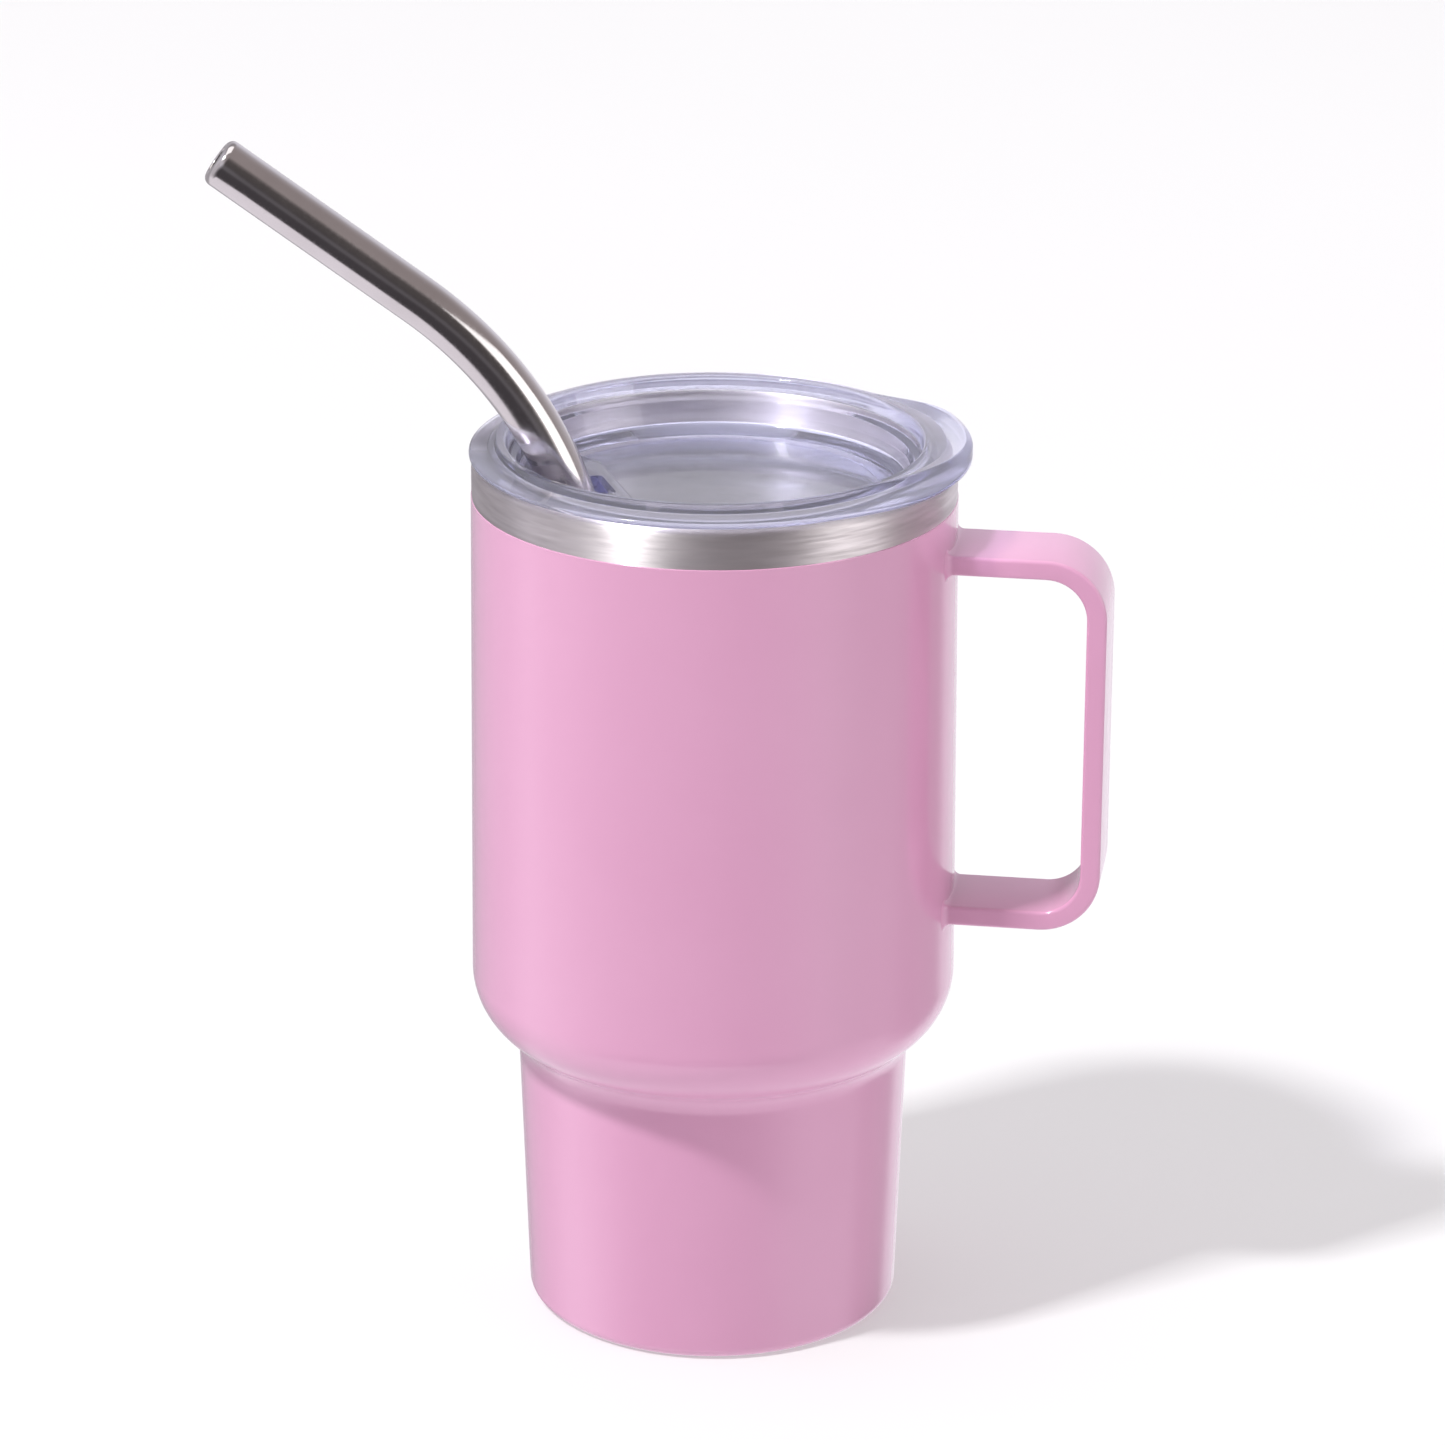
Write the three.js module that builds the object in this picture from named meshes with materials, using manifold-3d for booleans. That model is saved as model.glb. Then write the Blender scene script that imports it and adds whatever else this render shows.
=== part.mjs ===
// Miniature double-wall steel tumbler with a strip handle, a press-in clear lid and a bent steel straw.
// Millimetres, +Z up. The origin is the centre of the flat underside, and the handle points along +X.
import * as THREE from 'three';
import { mergeVertices } from 'three/addons/utils/BufferGeometryUtils.js';
import Module from 'manifold-3d';

const wasm = await Module();
wasm.setup();

// ---- Driving dimensions -------------------------------------------------------------------------
const GAP = 0.3; // clearance kept between pieces that touch
const SEGMENTS = 40; // facets round every turned piece

const RIM_RADIUS = 25.0; // outer radius of the body at the mouth
const RIM_TOP = 93.6; // height of the steel lip
const PAINT_TOP = 89.4; // the coated wall ends here and the bare steel band starts
const SHOULDER_RADIUS = 25.4; // widest radius, just above the shoulder
const SHOULDER_HEIGHT = 37.3; // height of that widest radius
const SHOULDER_CURVE = 7.6; // radius of the shoulder's convex arc
const NECK_CURVE = 3.6; // radius of the concave arc below it
const SHOULDER_TURN = THREE.MathUtils.degToRad(55.5); // angle that each of those arcs sweeps
const BASE_RADIUS = 19.6; // outer radius of the tapered foot at its lower end
const BASE_FILLET = 1.3; // rounding of the foot's bottom edge

const SHEET = 0.6; // steel wall thickness
const VACUUM_GAP = 1.6; // clear space between the two walls
const LINER_OUTSIDE = SHEET + VACUUM_GAP;
const LINER_INSIDE = LINER_OUTSIDE + SHEET;
const LINER_BOTTOM = 6.5; // lower edge of the liner's wall
const FOIL_OFFSET = LINER_OUTSIDE - GAP; // the foil's inner face, measured in from the shell's outside
const FOIL_THICKNESS = 0.3;

const COVER_RADIUS = 17.8;
const COVER_THICKNESS = 0.8;
const CLOSING_PLATE_HEIGHT = 2.2; // underside of the plate that closes the vacuum space
const SEAL_PORT_RADIUS = 1.1; // evacuation hole in that plate
const SEAL_BEAD_RADIUS = 2.4;
const LINER_FLOOR_HEIGHT = 5.4;
const LINER_FLOOR_THICKNESS = 0.8;
const GETTER_OFFSET = 8; // distance of the getter from the axis
const GETTER_RADIUS = 2.2;
const GETTER_THICKNESS = 1.1;
const GETTER_HEIGHT = 3.6;

const STRIP_WIDTH = 9.6;
const STRIP_THICKNESS = 2.05;
const HANDLE_REACH = 41.0; // radius of the strip's outer face
const HANDLE_TOP = 85.25;
const HANDLE_BOTTOM = 44.85;
const HANDLE_CORNER = 6.3; // outer radius of the strip's two bends
const STRIP_EDGE = 0.35; // rounding of the strip's long edges
const WELD_PROUD = 0.7; // how far a weld bead stands off the strip and off the shell

const PLUG_RADIUS = 20.4; // outside of the lid's plug
const PLUG_BOTTOM = 86.8;
const PLUG_WALL = 1.5;
const LID_FLOOR_TOP = 89.8;
const LID_FLOOR_THICKNESS = 1.0;
const LID_CREST = 95.3; // top of the ridge round the recess
const LID_RIDGE_RADIUS = 22.8; // outer side of that ridge; the brim slopes down from it to a thin edge
const LID_RECESS_RADIUS = 21.4;
const LID_EDGE_RADIUS = 25.1; // the brim, flush with the steel lip
const LID_EDGE_THICKNESS = 0.55;
const LIP_CONTACT = RIM_TOP + GAP; // underside of the brim
const TAB_RADIUS = 26.4; // the thumb lobe overhangs the lip
const TAB_HALF_ANGLE = THREE.MathUtils.degToRad(30); // full-width part of the lobe, each side
const TAB_BLEND_ANGLE = THREE.MathUtils.degToRad(14); // over which it runs back into the ridge
const SEAL_RING_LOW = 87.2;
const SEAL_RING_HIGH = 90.2;
const SEAL_RING_LIP = 21.9;

const PORT_AZIMUTH = THREE.MathUtils.degToRad(205); // direction of the straw port from the axis
const PORT_TOP = 91.2; // the pad round the slot stands above the lid's floor
const PORT_PAD_START = 10; // the pad's inner end, measured outwards from the axis
const PORT_PAD_HALF_WIDTH = 7.5;
const SLOT_START = 11.2;
const SLOT_END = 19.0;
const SLOT_WIDTH = 6.0;

const STRAW_RADIUS = 2.55;
const STRAW_WALL = 0.4;
const STRAW_AZIMUTH = THREE.MathUtils.degToRad(188.5); // the straw leans out along this direction
const STRAW_OFFSET = 4.4; // its plane passes this far to one side of the axis
const LEG_TILT = THREE.MathUtils.degToRad(18); // of the lower leg, from the vertical
const TIP_TILT = THREE.MathUtils.degToRad(53.8); // of the mouthpiece end, from the vertical
const BEND_START = new THREE.Vector2(14.47, 89.65); // where the lower leg ends: reach and height
const BEND_RADIUS = 42.8;
const MOUTHPIECE_LENGTH = 24.6;
const STRAW_FOOT = 7.3; // height of the lower leg's end, just clear of the liner's floor

// ---- Materials ----------------------------------------------------------------------------------
const finishes = {
  coat: { color: 0xe6a3c9, roughness: 0.18, metalness: 0.1 },
  steel: { color: 0xb9b4ad, roughness: 0.32, metalness: 1.0 },
  polished: { color: 0xcfcac6, roughness: 0.08, metalness: 1.0 },
  foil: { color: 0xc98a5a, roughness: 0.35, metalness: 1.0 },
  glassBead: { color: 0x6c7a58, roughness: 0.3, metalness: 0.0 },
  getter: { color: 0x4a4a4c, roughness: 0.8, metalness: 0.4 },
  clear: { color: 0xc6c4e4, roughness: 0.05, metalness: 0.0 },
  silicone: { color: 0xdedee6, roughness: 0.5, metalness: 0.0 },
};

const tumbler = new THREE.Group();

function addPart(name, geometry, finish) {
  const mesh = new THREE.Mesh(geometry, new THREE.MeshStandardMaterial(finishes[finish]));
  mesh.name = name;
  tumbler.add(mesh);
  return mesh;
}

// ---- Solids: joining and cutting ----------------------------------------------------------------
function toManifold(geometry) {
  const bare = geometry.clone();
  bare.deleteAttribute('normal');
  bare.deleteAttribute('uv');
  const merged = mergeVertices(bare, 1e-4);
  const vertProperties = new Float32Array(merged.attributes.position.array);
  const triVerts = new Uint32Array(merged.index.array);
  return new wasm.Manifold(new wasm.Mesh({ numProp: 3, vertProperties, triVerts }));
}

function toGeometry(solid) {
  const mesh = solid.getMesh();
  const geometry = new THREE.BufferGeometry();
  geometry.setAttribute('position', new THREE.BufferAttribute(mesh.vertProperties, 3));
  geometry.setIndex(new THREE.BufferAttribute(mesh.triVerts, 1));
  geometry.computeVertexNormals();
  return geometry;
}

// A profile of [radius, height] points, listed so that the solid lies on its left, turned about +Z.
function turned(profile, segments = SEGMENTS) {
  const points = profile.map(([radius, height]) => new THREE.Vector2(radius, height));
  const geometry = new THREE.LatheGeometry(points, segments);
  geometry.rotateX(Math.PI / 2);
  return geometry;
}

function closed(profile) {
  return [...profile, profile[0]];
}

function arc(centre, radius, from, to, steps) {
  const points = [];
  for (let i = 0; i <= steps; i += 1) {
    const angle = from + ((to - from) * i) / steps;
    points.push([centre[0] + radius * Math.cos(angle), centre[1] + radius * Math.sin(angle)]);
  }
  return points;
}

// An outline in a plane, extruded upwards from one height to another.
function slab(points, low, high) {
  const shape = new THREE.Shape(points.map(([x, y]) => new THREE.Vector2(x, y)));
  const geometry = new THREE.ExtrudeGeometry(shape, { depth: high - low, bevelEnabled: false });
  geometry.translate(0, 0, low);
  return geometry;
}

// ---- The body's outline -------------------------------------------------------------------------
const convexCentre = [SHOULDER_RADIUS - SHOULDER_CURVE, SHOULDER_HEIGHT];
const concaveCentre = [
  convexCentre[0] + (SHOULDER_CURVE + NECK_CURVE) * Math.cos(SHOULDER_TURN),
  convexCentre[1] - (SHOULDER_CURVE + NECK_CURVE) * Math.sin(SHOULDER_TURN),
];
const neckRadius = concaveCentre[0] - NECK_CURVE;

// The wall's outline moved inwards by inset, from a low height in the foot to a high one at the mouth.
function wall(inset, low, high) {
  const footSlope = (neckRadius - BASE_RADIUS) / (concaveCentre[1] - BASE_FILLET);
  const wallSlope = (RIM_RADIUS - SHOULDER_RADIUS) / (PAINT_TOP - SHOULDER_HEIGHT);
  const concave = arc(concaveCentre, NECK_CURVE + inset, Math.PI, Math.PI - SHOULDER_TURN, 4);
  const convex = arc(convexCentre, SHOULDER_CURVE - inset, -SHOULDER_TURN, 0, 6);
  return [
    [BASE_RADIUS + footSlope * (low - BASE_FILLET) - inset, low],
    ...concave,
    ...convex.slice(1),
    [SHOULDER_RADIUS + wallSlope * (high - SHOULDER_HEIGHT) - inset, high],
  ];
}

// ---- Steel body ---------------------------------------------------------------------------------
function outerShell() {
  const fillet = arc([BASE_RADIUS - BASE_FILLET, BASE_FILLET], BASE_FILLET, -Math.PI / 2, 0, 3);
  const turnedLip = COVER_RADIUS + GAP;
  const inside = wall(SHEET, BASE_FILLET, PAINT_TOP).reverse();
  return turned(closed([
    [turnedLip, 0],
    ...fillet,
    ...wall(0, BASE_FILLET, PAINT_TOP).slice(1),
    ...inside,
    [turnedLip, SHEET + 0.2],
  ]));
}

function mouthRim() {
  const outside = RIM_RADIUS - 0.05;
  const inside = RIM_RADIUS - LINER_INSIDE;
  const roll = 0.5;
  const foot = PAINT_TOP + GAP;
  return turned(closed([
    [outside, foot],
    ...arc([outside - roll, RIM_TOP - roll], roll, 0, Math.PI / 2, 2),
    ...arc([inside + roll, RIM_TOP - roll], roll, Math.PI / 2, Math.PI, 2),
    [inside, foot + GAP],
    [inside + SHEET, foot + GAP],
    [inside + SHEET, RIM_TOP - SHEET],
    [outside - SHEET, RIM_TOP - SHEET],
    [outside - SHEET, foot],
  ]));
}

function linerWall() {
  const outside = wall(LINER_OUTSIDE, LINER_BOTTOM, PAINT_TOP + GAP);
  const inside = wall(LINER_INSIDE, LINER_BOTTOM, PAINT_TOP + GAP).reverse();
  return turned(closed([...outside, ...inside]));
}

function linerFloor() {
  const radius = BASE_RADIUS - LINER_OUTSIDE - 0.1;
  const top = LINER_FLOOR_HEIGHT + LINER_FLOOR_THICKNESS;
  return turned([
    [0, LINER_FLOOR_HEIGHT],
    [radius - SHEET, LINER_FLOOR_HEIGHT],
    [radius, LINER_FLOOR_HEIGHT + SHEET / 2],
    [radius, top],
    [radius - 1.5, top],
    [radius - 2.2, top - 0.2],
    [0, top - 0.2],
  ]);
}

function foilWrap() {
  const low = LINER_BOTTOM + 2;
  const high = PAINT_TOP - 2;
  const outside = wall(FOIL_OFFSET - FOIL_THICKNESS, low, high);
  const inside = wall(FOIL_OFFSET, low, high).reverse();
  return turned(closed([...outside, ...inside]));
}

function closingPlate() {
  const radius = BASE_RADIUS - SHEET - GAP - 0.1;
  const low = CLOSING_PLATE_HEIGHT;
  const high = low + SHEET;
  return turned(closed([
    [SEAL_PORT_RADIUS, low],
    [radius, low],
    [radius, high],
    [SEAL_PORT_RADIUS + 3.5, high],
    [SEAL_PORT_RADIUS + 2.5, high + 0.4],
    [SEAL_PORT_RADIUS, high + 0.4],
  ]));
}

function sealBead() {
  const high = CLOSING_PLATE_HEIGHT - GAP;
  return turned([
    [0, high - 0.8],
    [SEAL_BEAD_RADIUS * 0.6, high - 0.7],
    [SEAL_BEAD_RADIUS, high - 0.2],
    [SEAL_BEAD_RADIUS, high],
    [0, high],
  ], 20);
}

function baseCover() {
  return turned([
    [0, 0],
    [COVER_RADIUS - 0.3, 0],
    [COVER_RADIUS, 0.3],
    [COVER_RADIUS, COVER_THICKNESS],
    [0, COVER_THICKNESS],
  ]);
}

function getterPellet() {
  const pellet = new THREE.CylinderGeometry(GETTER_RADIUS, GETTER_RADIUS, GETTER_THICKNESS, 20);
  pellet.rotateX(Math.PI / 2);
  pellet.translate(GETTER_OFFSET, 0, GETTER_HEIGHT + GETTER_THICKNESS / 2);
  return pellet;
}

function getterClip() {
  const low = GETTER_HEIGHT - 0.2;
  const high = LINER_FLOOR_HEIGHT - GAP;
  const inner = GETTER_RADIUS + GAP;
  const ring = turned(closed([
    [inner, low],
    [inner + 0.4, low],
    [inner + 0.4, high],
    [inner, high],
  ]), 20);
  ring.translate(GETTER_OFFSET, 0, 0);
  return ring;
}

// ---- Handle -------------------------------------------------------------------------------------
// The space that the shell takes up, grown by a clearance, as one solid to cut the handle back with.
function shellSpace(clearance) {
  return toManifold(turned([
    [0, 10],
    ...wall(-clearance, 10, PAINT_TOP + 1),
    [0, PAINT_TOP + 1],
  ]));
}

function handleStrip() {
  const start = RIM_RADIUS - 2;
  const outer = STRIP_EDGE;
  const reach = HANDLE_REACH - outer;
  const top = HANDLE_TOP - outer;
  const bottom = HANDLE_BOTTOM + outer;
  const thickness = STRIP_THICKNESS - 2 * outer;
  const bend = HANDLE_CORNER - outer;
  const innerBend = bend - thickness;
  const upper = [reach - bend, top - bend];
  const lower = [reach - bend, bottom + bend];
  const outline = [
    [start, bottom],
    ...arc(lower, bend, -Math.PI / 2, 0, 6),
    ...arc(upper, bend, 0, Math.PI / 2, 6),
    [start, top],
    [start, top - thickness],
    ...arc(upper, innerBend, Math.PI / 2, 0, 6),
    ...arc(lower, innerBend, 0, -Math.PI / 2, 6),
    [start, bottom + thickness],
  ];
  const shape = new THREE.Shape(outline.map(([x, z]) => new THREE.Vector2(x, z)));
  const strip = new THREE.ExtrudeGeometry(shape, {
    depth: STRIP_WIDTH - 2 * outer,
    bevelThickness: outer,
    bevelSize: outer,
    bevelSegments: 2,
  });
  strip.rotateX(Math.PI / 2);
  strip.translate(0, STRIP_WIDTH / 2 - outer, 0);
  return toGeometry(toManifold(strip).subtract(shellSpace(GAP)));
}

// The weld bead that runs round an arm of the strip where it meets the shell.
function armWeld(armLow) {
  const hole = [STRIP_WIDTH / 2 + GAP, STRIP_THICKNESS / 2 + GAP];
  const middle = armLow + STRIP_THICKNESS / 2;
  const far = SHOULDER_RADIUS + GAP + WELD_PROUD;
  const near = RIM_RADIUS - 3;
  const bar = (halfWidth, halfHeight, low, high) => {
    const box = new THREE.BoxGeometry(high - low, 2 * halfWidth, 2 * halfHeight);
    box.translate((low + high) / 2, 0, middle);
    return toManifold(box);
  };
  const bead = bar(hole[0] + WELD_PROUD, hole[1] + WELD_PROUD, near, far);
  const arm = bar(hole[0], hole[1], near - 1, far + 1);
  return toGeometry(bead.subtract(arm).subtract(shellSpace(GAP)));
}

// ---- Lid ----------------------------------------------------------------------------------------
function lidBlank() {
  const inner = PLUG_RADIUS - PLUG_WALL;
  const underside = LID_FLOOR_TOP - LID_FLOOR_THICKNESS;
  const ridge = arc([LID_RIDGE_RADIUS - 0.5, LID_CREST - 0.6], 0.6, Math.PI / 6, Math.PI / 2, 2);
  return turned([
    [0, underside],
    [inner, underside],
    [inner, PLUG_BOTTOM],
    [PLUG_RADIUS, PLUG_BOTTOM],
    [PLUG_RADIUS, SEAL_RING_HIGH + GAP],
    [PLUG_RADIUS + 1.0, LIP_CONTACT - 1],
    [PLUG_RADIUS + 1.2, LIP_CONTACT],
    [LID_EDGE_RADIUS - 0.15, LIP_CONTACT],
    [LID_EDGE_RADIUS, LIP_CONTACT + 0.15],
    [LID_EDGE_RADIUS - 0.1, LIP_CONTACT + LID_EDGE_THICKNESS],
    ...ridge,
    [LID_RECESS_RADIUS + 0.3, LID_CREST],
    [LID_RECESS_RADIUS, LID_CREST - 0.2],
    [PLUG_RADIUS + 0.2, LID_CREST - 2],
    [PLUG_RADIUS - 0.3, LID_CREST - 2.6],
    [PLUG_RADIUS - 0.9, LID_FLOOR_TOP + 0.6],
    [PLUG_RADIUS - 3.4, LID_FLOOR_TOP],
    [0, LID_FLOOR_TOP],
  ]);
}

// How far the lobe's edge lies from the axis in a direction measured from the handle's side.
function lobeRadius(angle) {
  const past = (Math.abs(angle) - TAB_HALF_ANGLE) / TAB_BLEND_ANGLE;
  const share = 1 - THREE.MathUtils.smoothstep(past, 0, 1);
  return LID_RIDGE_RADIUS + (TAB_RADIUS - LID_RIDGE_RADIUS) * share;
}

function thumbLobe() {
  const limit = TAB_HALF_ANGLE + TAB_BLEND_ANGLE;
  const steps = 22;
  const outline = [];
  for (let i = 0; i <= steps; i += 1) {
    const angle = -limit + (2 * limit * i) / steps;
    const radius = lobeRadius(angle);
    outline.push([radius * Math.cos(angle), radius * Math.sin(angle)]);
  }
  for (let i = steps; i >= 0; i -= 1) {
    const angle = -limit + (2 * limit * i) / steps;
    const radius = LID_RIDGE_RADIUS - 0.3;
    outline.push([radius * Math.cos(angle), radius * Math.sin(angle)]);
  }
  return toManifold(slab(outline, LIP_CONTACT, LID_CREST - 0.15));
}

// Points given as distance outwards along the port and distance to its side.
function alongPort(points) {
  const c = Math.cos(PORT_AZIMUTH);
  const s = Math.sin(PORT_AZIMUTH);
  return points.map(([out, side]) => [out * c - side * s, out * s + side * c]);
}

function portPad() {
  const outer = PLUG_RADIUS - 0.6;
  const corner = 1.9;
  const half = PORT_PAD_HALF_WIDTH;
  const side = half + 3.1;
  const rim = arc([0, 0], outer, -Math.asin(side / outer), Math.asin(side / outer), 10);
  const outline = alongPort([
    ...rim,
    [PORT_PAD_START + corner, side],
    [PORT_PAD_START, half],
    [PORT_PAD_START, -half],
    [PORT_PAD_START + corner, -side],
  ]);
  return toManifold(slab(outline, LID_FLOOR_TOP - LID_FLOOR_THICKNESS, PORT_TOP));
}

function strawSlot() {
  const half = SLOT_WIDTH / 2;
  const outline = alongPort([
    ...arc([SLOT_END - half, 0], half, -Math.PI / 2, Math.PI / 2, 8),
    ...arc([SLOT_START + 0.6, half - 0.6], 0.6, Math.PI / 2, Math.PI, 2),
    ...arc([SLOT_START + 0.6, 0.6 - half], 0.6, Math.PI, Math.PI * 1.5, 2),
  ]);
  return toManifold(slab(outline, PLUG_BOTTOM - 1, PORT_TOP + 1));
}

function lidBody() {
  const whole = toManifold(lidBlank()).add(thumbLobe()).add(portPad());
  return toGeometry(whole.subtract(strawSlot()));
}

function lidSeal() {
  const inner = PLUG_RADIUS + GAP;
  return turned(closed([
    [inner, SEAL_RING_LOW],
    [inner + 0.6, SEAL_RING_LOW],
    [SEAL_RING_LIP, SEAL_RING_LOW + 0.8],
    [inner + 0.7, SEAL_RING_LOW + 1.2],
    [SEAL_RING_LIP, SEAL_RING_HIGH - 0.6],
    [inner + 0.6, SEAL_RING_HIGH],
    [inner, SEAL_RING_HIGH],
  ]));
}

// ---- Straw --------------------------------------------------------------------------------------
// A place on the straw's plane: reach outwards along its azimuth, and height.
function strawPoint(reach, height) {
  const c = Math.cos(STRAW_AZIMUTH);
  const s = Math.sin(STRAW_AZIMUTH);
  return new THREE.Vector3(reach * c - STRAW_OFFSET * s, reach * s + STRAW_OFFSET * c, height);
}

class StrawCurve extends THREE.Curve {
  constructor() {
    super();
    this.legLength = (BEND_START.y - STRAW_FOOT) / Math.cos(LEG_TILT);
    this.bendLength = BEND_RADIUS * (TIP_TILT - LEG_TILT);
    this.total = this.legLength + this.bendLength + MOUTHPIECE_LENGTH;
  }

  getPoint(share) {
    const distance = share * this.total;
    const bend = Math.min(Math.max(distance - this.legLength, 0), this.bendLength);
    const tilt = LEG_TILT + bend / BEND_RADIUS;
    const centreReach = BEND_START.x + BEND_RADIUS * Math.cos(LEG_TILT);
    const centreHeight = BEND_START.y - BEND_RADIUS * Math.sin(LEG_TILT);
    const straight = distance - this.legLength - bend;
    const reach = centreReach - BEND_RADIUS * Math.cos(tilt) + straight * Math.sin(tilt);
    const height = centreHeight + BEND_RADIUS * Math.sin(tilt) + straight * Math.cos(tilt);
    return strawPoint(reach, height);
  }
}

function straw() {
  const section = new THREE.Shape();
  section.absarc(0, 0, STRAW_RADIUS, 0, Math.PI * 2, false);
  const bore = new THREE.Path();
  bore.absarc(0, 0, STRAW_RADIUS - STRAW_WALL, 0, Math.PI * 2, true);
  section.holes.push(bore);
  const path = new StrawCurve();
  return new THREE.ExtrudeGeometry(section, { extrudePath: path, steps: 24, curveSegments: 8 });
}

// ---- Assembly -----------------------------------------------------------------------------------
addPart('outer_shell', outerShell(), 'coat');
addPart('mouth_rim', mouthRim(), 'steel');
addPart('liner_wall', linerWall(), 'steel');
addPart('liner_floor', linerFloor(), 'steel');
addPart('foil_wrap', foilWrap(), 'foil');
addPart('closing_plate', closingPlate(), 'steel');
addPart('vacuum_seal_bead', sealBead(), 'glassBead');
addPart('base_cover', baseCover(), 'steel');
addPart('getter_pellet', getterPellet(), 'getter');
addPart('getter_clip', getterClip(), 'steel');
addPart('handle_strip', handleStrip(), 'coat');
addPart('upper_arm_weld', armWeld(HANDLE_TOP - STRIP_THICKNESS), 'coat');
addPart('lower_arm_weld', armWeld(HANDLE_BOTTOM), 'coat');
addPart('lid_body', lidBody(), 'clear');
addPart('lid_seal', lidSeal(), 'silicone');
addPart('straw', straw(), 'polished');

export default tumbler;
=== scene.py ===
import math

import bpy
from mathutils import Matrix, Vector


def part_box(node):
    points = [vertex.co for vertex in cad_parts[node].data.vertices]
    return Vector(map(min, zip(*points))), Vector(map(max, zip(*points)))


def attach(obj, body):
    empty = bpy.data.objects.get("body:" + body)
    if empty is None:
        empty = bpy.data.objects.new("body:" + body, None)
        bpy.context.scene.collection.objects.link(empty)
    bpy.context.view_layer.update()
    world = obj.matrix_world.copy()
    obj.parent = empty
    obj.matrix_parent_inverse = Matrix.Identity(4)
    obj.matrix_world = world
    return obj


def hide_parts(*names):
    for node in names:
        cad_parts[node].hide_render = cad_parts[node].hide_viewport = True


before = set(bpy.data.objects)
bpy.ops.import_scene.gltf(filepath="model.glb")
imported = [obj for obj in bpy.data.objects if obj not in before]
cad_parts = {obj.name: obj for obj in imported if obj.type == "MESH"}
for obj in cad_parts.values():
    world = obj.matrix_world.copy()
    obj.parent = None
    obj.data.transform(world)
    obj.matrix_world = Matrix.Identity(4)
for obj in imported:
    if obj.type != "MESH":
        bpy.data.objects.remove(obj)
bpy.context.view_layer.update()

# ---- Sizes, in millimetres, in the frame's own axes ------------------------------------------------
MM = 0.001
ROUND = 192  # facets round a turned piece
LID_ROUND = 240  # facets round the lid, whose outline changes with the angle


def height(node, end):
    """Lowest (0) or highest (1) point of a CAD node, in millimetres."""
    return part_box(node)[end][2] / MM


PAINT_TOP = height("outer_shell", 1)
RIM_TOP = height("mouth_rim", 1)
SHOULDER_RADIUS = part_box("outer_shell")[1][0] / MM
RIM_RADIUS = 25.0
SHOULDER_HEIGHT = 37.3
SHOULDER_CURVE = 7.6
NECK_CURVE = 3.6
SHOULDER_TURN = math.radians(55.5)
BASE_RADIUS = 19.6
BASE_FILLET = 1.3
SHEET = 0.6
LINER_OUTSIDE = 2.2
LINER_INSIDE = LINER_OUTSIDE + SHEET
COVER_RADIUS = 17.8

HANDLE_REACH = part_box("handle_strip")[1][0] / MM
HANDLE_TOP = height("handle_strip", 1)
HANDLE_BOTTOM = height("handle_strip", 0)
STRIP_WIDTH = 9.6
STRIP_THICKNESS = 2.05
HANDLE_CORNER = 6.3
STRIP_EDGE = 0.4
WELD_FILLET = 0.7

PLUG_RADIUS = 20.4
PLUG_WALL = 1.5
PLUG_BOTTOM = height("lid_body", 0)
LID_FLOOR = 89.8
LID_UNDERSIDE = 88.8
LID_CREST = 95.3
BRIM_UNDERSIDE = RIM_TOP + 0.04
BRIM_RADIUS = 25.15
RIDGE_RADIUS = 22.8
RECESS_RADIUS = 21.4
STEP_HEIGHT = 92.9  # of the step in the recess's wall
TAB_RADIUS = 26.4
TAB_DISH = 0.5  # how deep the thumb tab's top is dished
TAB_END = 54  # degrees
TAB_END_BLEND = 25
PORT_AZIMUTH = math.radians(205)
PORT_TOP = 91.2
PAD_START = 10.0
PAD_HALF_WIDTH = 7.5
PAD_SPLAY = (1.9, 3.1)  # how far the pad's cheeks run outwards and sideways
PAD_EDGE = 0.25
SLOT_START = 11.2
SLOT_END = 19.0
SLOT_WIDTH = 6.0

STRAW_RADIUS = 2.55
STRAW_WALL = 0.4
STRAW_AZIMUTH = math.radians(188.5)
STRAW_OFFSET = 4.4
LEG_TILT = math.radians(18)
TIP_TILT = math.radians(53.8)
BEND_REACH = 14.47
BEND_HEIGHT = 89.65
BEND_RADIUS = 42.8
MOUTHPIECE_LENGTH = 24.6
STRAW_FOOT = 7.3
STRAW_LIP = 0.85  # how far the mouthpiece's end is rolled in
LEG_LENGTH = (BEND_HEIGHT - STRAW_FOOT) / math.cos(LEG_TILT)
BEND_LENGTH = BEND_RADIUS * (TIP_TILT - LEG_TILT)

CAMERA_AZIMUTH = math.radians(8.5)
CAMERA_PITCH = math.radians(20.52)
CAMERA_ROLL = math.radians(0.21)
CAMERA_PLACE = (0.89, -560.55, 273.88)  # before the turn by the azimuth
LENS = 143.26
SENSOR = 36.0

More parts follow.
